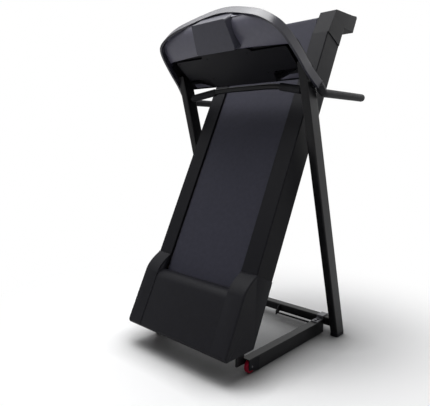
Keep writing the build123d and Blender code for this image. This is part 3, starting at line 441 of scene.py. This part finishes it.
def turned_out(name, shape):
    """Mesh of the shape, with its faces turned outwards."""
    bmesh.ops.recalc_face_normals(shape, faces=shape.faces)
    mesh = bpy.data.meshes.new(name)
    shape.to_mesh(mesh)
    shape.free()
    return mesh


def new_piece(name, shape, body, finish, nodes=(), wall=0.0):
    """Object made of the shape, which rides on a body and may stand for CAD nodes."""
    mesh = turned_out(name, shape)
    mesh.materials.append(finishes[finish])
    for face in mesh.polygons:
        face.use_smooth = True
    mesh.set_sharp_from_angle(angle=sharp_angle)
    piece = add_object(name, mesh)
    if wall:
        thick = piece.modifiers.new("wall", "SOLIDIFY")
        thick.thickness = wall / metre
        thick.offset = -1.0
    even = piece.modifiers.new("even", "WEIGHTED_NORMAL")
    even.keep_sharp = True
    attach(piece, body)
    if nodes:
        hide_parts(*nodes)
    return piece


def cut_out(piece, low, high, place):
    """Cuts a box, given by its low and high corner, out of the piece."""
    base = [(low[0], low[1]), (high[0], low[1]), (high[0], high[1]), (low[0], high[1])]
    shape = bmesh.new()
    add_solid(shape, [[place(a, b, c) for a, b in base] for c in (low[2], high[2])])
    mesh = turned_out("cutter", shape)
    cutter = add_object("cutter", mesh)
    step = piece.modifiers.new("cut", "BOOLEAN")
    step.operation = "DIFFERENCE"
    step.object = cutter
    bpy.context.view_layer.update()
    seen_piece = piece.evaluated_get(bpy.context.evaluated_depsgraph_get())
    piece.data = bpy.data.meshes.new_from_object(seen_piece)
    piece.modifiers.clear()
    bpy.data.objects.remove(cutter)
    bpy.data.meshes.remove(mesh)


def hood_nose(crest):
    """Path from the hood's crest round its nose and down its end wall."""
    end_n = crest - nose_radius
    run = (end_n - skirt) / math.tan(fold)
    return arc((nose_s + nose_radius, end_n), nose_radius, 90, 180) + [(nose_s + run, skirt)]


def make_hood_centre():
    """Centre of the motor hood: it rolls over onto the belt, and its end wall holds the inlet and switch."""
    path = arc((belt_start - roll_radius, belt_top), roll_radius, 0, 90, roll_steps) + hood_nose(hood_crest)
    shape = bmesh.new()
    add_rows(shape, [[on_deck(x, s, n) for s, n in path] for x in (hood_half, -hood_half)])
    piece = new_piece("hood_centre_shell", shape, "deck", "black_plastic", ["hood_centre"], hood_wall)
    spare = Vector((inlet_gap, inlet_gap, 0.0))
    for node in ("power_inlet", "power_switch"):
        low, high = box_of(node)
        cut_out(piece, low - spare, high + spare, world_point)


def make_hood_cheek(name, side):
    """Cheek beside the hood: it swells out of the foot rail and has a rounded outer edge."""
    ramp = bezier(
        (cheek_start, rail_top),
        (cheek_start - ramp_reach, rail_top + ramp_lift),
        (cheek_end + ramp_reach, cheek_crest),
        (cheek_end, cheek_crest),
    )
    path = ramp + hood_nose(cheek_crest)
    rows = [[on_deck(side * cheek_inner, s, n) for s, n in path]]
    for step in range(round_steps + 1):
        turn = math.radians(90 * step / round_steps)
        x = cheek_outer - cheek_round * (1 - math.sin(turn))
        edge = inset(path, cheek_round * (1 - math.cos(turn)))
        edge[0] = (cheek_start, max(edge[0][1], rail_top - rail_sink))
        edge[-1] = (edge[-1][0], skirt)
        rows.append([on_deck(side * x, s, n) for s, n in edge])
    shape = bmesh.new()
    made = add_rows(shape, rows)
    skirt_corner = shape.verts.new(on_deck(side * cheek_outer, cheek_start, skirt))
    shape.faces.new(made[-1] + [skirt_corner])
    inner_corner = shape.verts.new(on_deck(side * cheek_inner, cheek_end, rail_top - rail_sink))
    shape.faces.new(made[0][: len(ramp)] + [inner_corner])
    nodes = [f"hood_cheek_{name}"]
    piece = new_piece(f"hood_cheek_shell_{name}", shape, "deck", "black_plastic", nodes, hood_wall)
    low_x, high_x = sorted(side * x for x in bracket_x)
    low = (low_x, bracket_s[0], bracket_n[0])
    high = (high_x, bracket_s[1], bracket_n[1])
    cut_out(piece, low, high, on_deck)


def make_cross_bar():
    """Cross bar, whose ends slope down and forward to the uprights."""
    bend = bezier(
        bar_bend + bend_length * bar_slope,
        bar_bend + bend_pull * bar_slope,
        bar_bend - bend_pull * across,
        bar_bend - bend_length * across,
        bend_steps,
    )
    half = [bar_end] + [Vector(point) for point in bend]
    shape = bmesh.new()
    add_tube(shape, half + [mirrored(point) for point in reversed(half)], bar_radius)
    new_piece("cross_bar_tube", shape, "base", "frame_steel", ["cross_bar"])


def make_bar_sleeves():
    """Soft sleeves on the sloping ends of the cross bar."""
    ends = [bar_bend + bar_slope * ((x - bar_bend.x) / bar_slope.x) for x in sleeve_x]
    shape = bmesh.new()
    add_tube(shape, ends, sleeve_radius)
    add_tube(shape, [mirrored(end) for end in ends], sleeve_radius)
    new_piece("bar_sleeve_pair", shape, "base", "grip_foam", ["bar_sleeves"])


def make_cover_screws():
    """Screws that hold the lower cover."""
    shape = bmesh.new()
    for u, v in screw_places:
        rings = []
        for radius, rise in screw_rings:
            w = cover_w(v) + rise
            rings.append([on_console(u + radius * c, v + radius * s, w) for c, s in circle(screw_sides)])
        add_solid(shape, rings)
    new_piece("cover_screws", shape, "base", "soft_rubber")


def make_console_lobes():
    """Recessed lobes between the rim and the display housing, with a flange behind the top of the rim."""
    half_width = [(v, u) for u, v in inset(smooth(rim_half), rim_wall)]
    depth = bezier(*lobe_curve, lobe_curve_steps)
    top_w = read_off(depth, lobe_top)
    rows = []
    for column in range(-lobe_columns, lobe_columns + 1):
        share = column / lobe_columns
        low = lobe_foot + lobe_foot_rise * (1 - abs(share)) ** lobe_foot_bend
        heights = [low + (lobe_top - low) * step / lobe_steps for step in range(lobe_steps + 1)]
        row = [on_console(share * read_off(half_width, v), v, read_off(depth, v)) for v in heights]
        top_u = share * read_off(half_width, lobe_top)
        flange_w = max(top_w + flange_least, rim_back - rim_bow * top_u ** 2)
        row.append(on_console(top_u, lobe_top + flange_rise, top_w))
        row.append(on_console(top_u, lobe_top + flange_rise, flange_w))
        rows.append(row)
    shape = bmesh.new()
    add_rows(shape, rows)
    new_piece("console_lobes", shape, "base", "lobe_plastic", ["console_back"], lobe_wall)


def make_lower_cover():
    """Lower cover: raised middle, a rounded finger opening at each end and a lip along each opening."""
    outline = rounded(cover_half + [(-u, v, radius) for u, v, radius in reversed(cover_half)])
    shape = bmesh.new()
    add_solid(shape, [[on_cover(u, v, depth) for u, v in outline] for depth in (0.0, cover_wall)])
    for _, side in both_sides:
        front = rounded([(side * u, v, radius) for u, v, radius in lip_corners])
        behind = [(u + side * lip_wall, v - lip_wall) for u, v in front]
        loop = front + behind[::-1]
        outer_ring = [on_cover(u, v, lip_sink) for u, v in loop]
        inner_ring = [on_console(u, v, panel_under) for u, v in loop]
        add_solid(shape, [outer_ring, inner_ring])
    new_piece("lower_cover_plate", shape, "base", "black_plastic", ["lower_cover"])


def make_opening_linings():
    """Pale lining that shows inside the finger openings."""
    shape = bmesh.new()
    for _, side in both_sides:
        loop = rounded([(side * u, v, radius) for u, v, radius in lining_corners])
        depths = (panel_under, panel_under - lining_wall)
        add_solid(shape, [[on_console(u, v, w) for u, v in loop] for w in depths])
    new_piece("opening_linings", shape, "base", "lobe_plastic")


def make_wheel_guards():
    """Thin plates over the transport wheels at the front of the floor rails."""
    shape = bmesh.new()
    for name, side in both_sides:
        low, high = box_of(f"base_rail_{name}")
        outer = max(abs(low.x), abs(high.x))
        profile = [
            (low.y - guard_wall, low.z + guard_foot),
            (low.y + guard_length, low.z),
            (low.y + guard_length, high.z - guard_drop),
            (low.y - guard_wall, high.z - guard_drop),
        ]
        faces = (side * outer, side * (outer + guard_wall))
        add_solid(shape, [[world_point(x, y, z) for y, z in profile] for x in faces])
    new_piece("wheel_guards", shape, "base", "black_plastic")


make_hood_centre()
for name, side in both_sides:
    make_hood_cheek(name, side)
make_cross_bar()
make_bar_sleeves()
make_cover_screws()
make_console_lobes()
make_lower_cover()
make_opening_linings()
make_wheel_guards()


def floor_material():
    """Pale floor with a painted contact shadow that darkens it close to the object, and that turns into the white
    background away from it.
    """
    pale = bpy.data.materials.new("pale_floor")
    pale.use_nodes = True
    tree = pale.node_tree
    surface = tree.nodes["Principled BSDF"]
    surface.inputs["Roughness"].default_value = 0.6
    place = new_node(tree, "TexCoord")
    cloud = new_node(tree, "TexNoise", {"Scale": 2.0})
    tint = new_node(tree, "ValToRGB")
    tint.color_ramp.elements[0].color = (0.86, 0.86, 0.865, 1)
    tint.color_ramp.elements[1].color = (0.9, 0.9, 0.905, 1)
    link(tree, place.outputs["Object"], cloud.inputs["Vector"])
    link(tree, cloud.outputs["Fac"], tint.inputs["Fac"])
    # Painted shadow: the floor's colour goes dark where the object is near, by ambient occlusion
    near = new_node(tree, "AmbientOcclusion", {"Distance": painted_shadow_reach}, samples=12)
    openness = new_node(tree, "Math", {1: painted_shadow_power}, operation="POWER")
    link(tree, near.outputs["AO"], openness.inputs[0])
    painted_shadow = new_node(tree, "Mix", {"A": (0.02, 0.02, 0.022, 1)}, data_type="RGBA")
    link(tree, openness.outputs["Value"], painted_shadow.inputs["Factor"])
    link(tree, tint.outputs["Color"], painted_shadow.inputs["B"])
    link(tree, painted_shadow.outputs["Result"], surface.inputs["Base Color"])
    distance = new_node(tree, "VectorMath", operation="LENGTH")
    link(tree, place.outputs["Object"], distance.inputs[0])
    limits = {"From Min": fade_start, "From Max": fade_end}
    fade = new_node(tree, "MapRange", limits, interpolation_type="SMOOTHSTEP")
    link(tree, distance.outputs["Value"], fade.inputs["Value"])
    glow = new_node(tree, "Emission", {"Color": (1, 1, 1, 1)})
    seen = new_node(tree, "Math", operation="MULTIPLY")
    link(tree, either_ray(tree), seen.inputs[0])
    link(tree, fade.outputs["Result"], seen.inputs[1])
    mix = new_node(tree, "MixShader")
    link(tree, seen.outputs["Value"], mix.inputs["Fac"])
    link(tree, surface.outputs["BSDF"], mix.inputs[1])
    link(tree, glow.outputs["Emission"], mix.inputs[2])
    link(tree, mix.outputs["Shader"], tree.nodes["Material Output"].inputs["Surface"])
    return pale


# Floor
floor_mesh = bpy.data.meshes.new("floor")
shape = bmesh.new()
bmesh.ops.create_grid(shape, x_segments=1, y_segments=1, size=floor_reach)
shape.to_mesh(floor_mesh)
shape.free()
floor_mesh.materials.append(floor_material())
floor = add_object("floor", floor_mesh)

# Surroundings: soft light on the object, and white where the background shows
world = bpy.data.worlds.new("studio")
bpy.context.scene.world = world
world.use_nodes = True
tree = world.node_tree
tree.nodes.clear()
soft = new_node(tree, "Background", {"Color": (0.95, 0.97, 1.0, 1), "Strength": 0.06})
white = new_node(tree, "Background", {"Color": (1, 1, 1, 1)})
mix = new_node(tree, "MixShader")
out = new_node(tree, "OutputWorld")
link(tree, either_ray(tree), mix.inputs["Fac"])
link(tree, soft.outputs["Background"], mix.inputs[1])
link(tree, white.outputs["Background"], mix.inputs[2])
link(tree, mix.outputs["Shader"], out.inputs["Surface"])


def area_light(name, place, target, width, power):
    """Soft square light that looks at the target."""
    light = bpy.data.lights.new(name, "AREA")
    light.size = width
    light.energy = power
    holder = add_object(name, light)
    holder.location = place
    holder.rotation_euler = (Vector(target) - Vector(place)).to_track_quat("-Z", "Y").to_euler()


# Lamps, with places and widths in metres and power in watts
area_light("key", place=(-0.5, -0.5, 3.6), target=(0, -0.2, 0.5), width=2.4, power=145)
area_light("front", place=(-1.7, -2.3, 3.3), target=(0, -0.1, 0.8), width=1.6, power=26)
area_light("back", place=(0.6, 2.6, 1.7), target=(0, -0.1, 0.0), width=1.4, power=14)
area_light("side", place=(2.6, -1.0, 2.6), target=(0, 0, 0.9), width=1.6, power=8)

# Camera as the photograph was taken
yaw = math.radians(45.38)
pitch = math.radians(5.34)
forward = Vector((-math.sin(yaw) * math.cos(pitch), math.cos(yaw) * math.cos(pitch), -math.sin(pitch)))
lens = bpy.data.cameras.new("camera")
lens.sensor_fit = "HORIZONTAL"
lens.sensor_width = 36.0
lens.lens = 39.28
lens.shift_x = 0.0777
lens.shift_y = -0.0513
camera = add_object("camera", lens)
camera.location = (1.3066, -1.7018, 0.9017)
camera.rotation_euler = forward.to_track_quat("-Z", "Y").to_euler()
bpy.context.scene.camera = camera
bpy.context.scene.view_settings.view_transform = "Standard"
